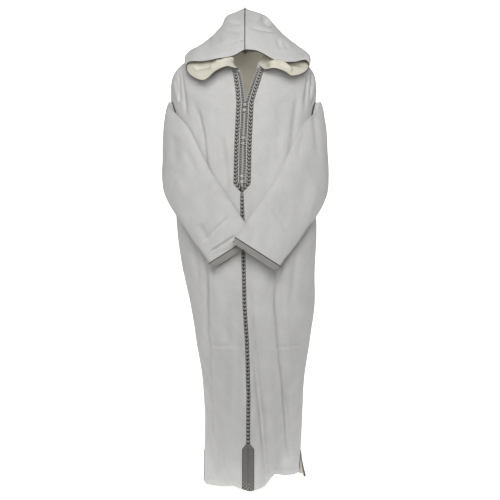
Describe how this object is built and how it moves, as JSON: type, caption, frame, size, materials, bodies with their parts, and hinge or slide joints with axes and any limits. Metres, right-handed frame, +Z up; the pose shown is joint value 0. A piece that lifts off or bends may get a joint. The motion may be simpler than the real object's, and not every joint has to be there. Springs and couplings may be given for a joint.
{
  "type": "hooded robe",
  "caption": "Long hooded djellaba robe, hollow and filled out, with its sleeves folded across the front, braided neck slit, cuffs and hem tab.",
  "frame": {"origin": "middle of the wearer's shoulders, at the base of the neck, where the wearer's body holds the robe up", "axes": "+Z up, the front faces -Y, +X to the viewer's right when facing the front"},
  "size_m": [0.5552, 0.3331, 1.5952],
  "materials": {
    "cream_cloth": "matt slubbed weave, off-white",
    "grey_braid": "matt plaited braid, black and white threads",
    "black_braid": "matt cord, near black",
    "silver_knot": "silky knotted cord, pale grey"
  },
  "bodies": {
    "root": {"robe_front_left": "cream_cloth", "robe_front_right": "cream_cloth", "robe_back": "cream_cloth", "sleeve_left": "cream_cloth", "sleeve_right": "cream_cloth", "hood_left": "cream_cloth", "hood_right": "cream_cloth", "placket_braid_left": "grey_braid", "placket_braid_right": "grey_braid", "front_braid": "grey_braid", "hem_tab": "grey_braid", "cuff_braid_left": "grey_braid", "cuff_braid_right": "grey_braid", "slit_braid_front_left": "grey_braid", "slit_braid_front_right": "grey_braid", "slit_braid_back_left": "grey_braid", "slit_braid_back_right": "grey_braid", "placket_beads_left": "black_braid", "placket_beads_right": "black_braid", "armhole_braid_front_left": "black_braid", "armhole_braid_front_right": "black_braid", "armhole_braid_back_left": "black_braid", "armhole_braid_back_right": "black_braid", "hood_edge_cord_left": "black_braid", "hood_edge_cord_right": "black_braid", "hood_seam_cord": "black_braid", "nape_ring": "black_braid", "knot_1_upper": "silver_knot", "knot_1_lower": "silver_knot", "knot_2_upper": "silver_knot", "knot_2_lower": "silver_knot", "knot_3_upper": "silver_knot", "knot_3_lower": "silver_knot", "loop_1_upper": "silver_knot", "loop_1_lower": "silver_knot", "loop_2_upper": "silver_knot", "loop_2_lower": "silver_knot", "loop_3_upper": "silver_knot", "loop_3_lower": "silver_knot"}
  },
  "joints": []
}
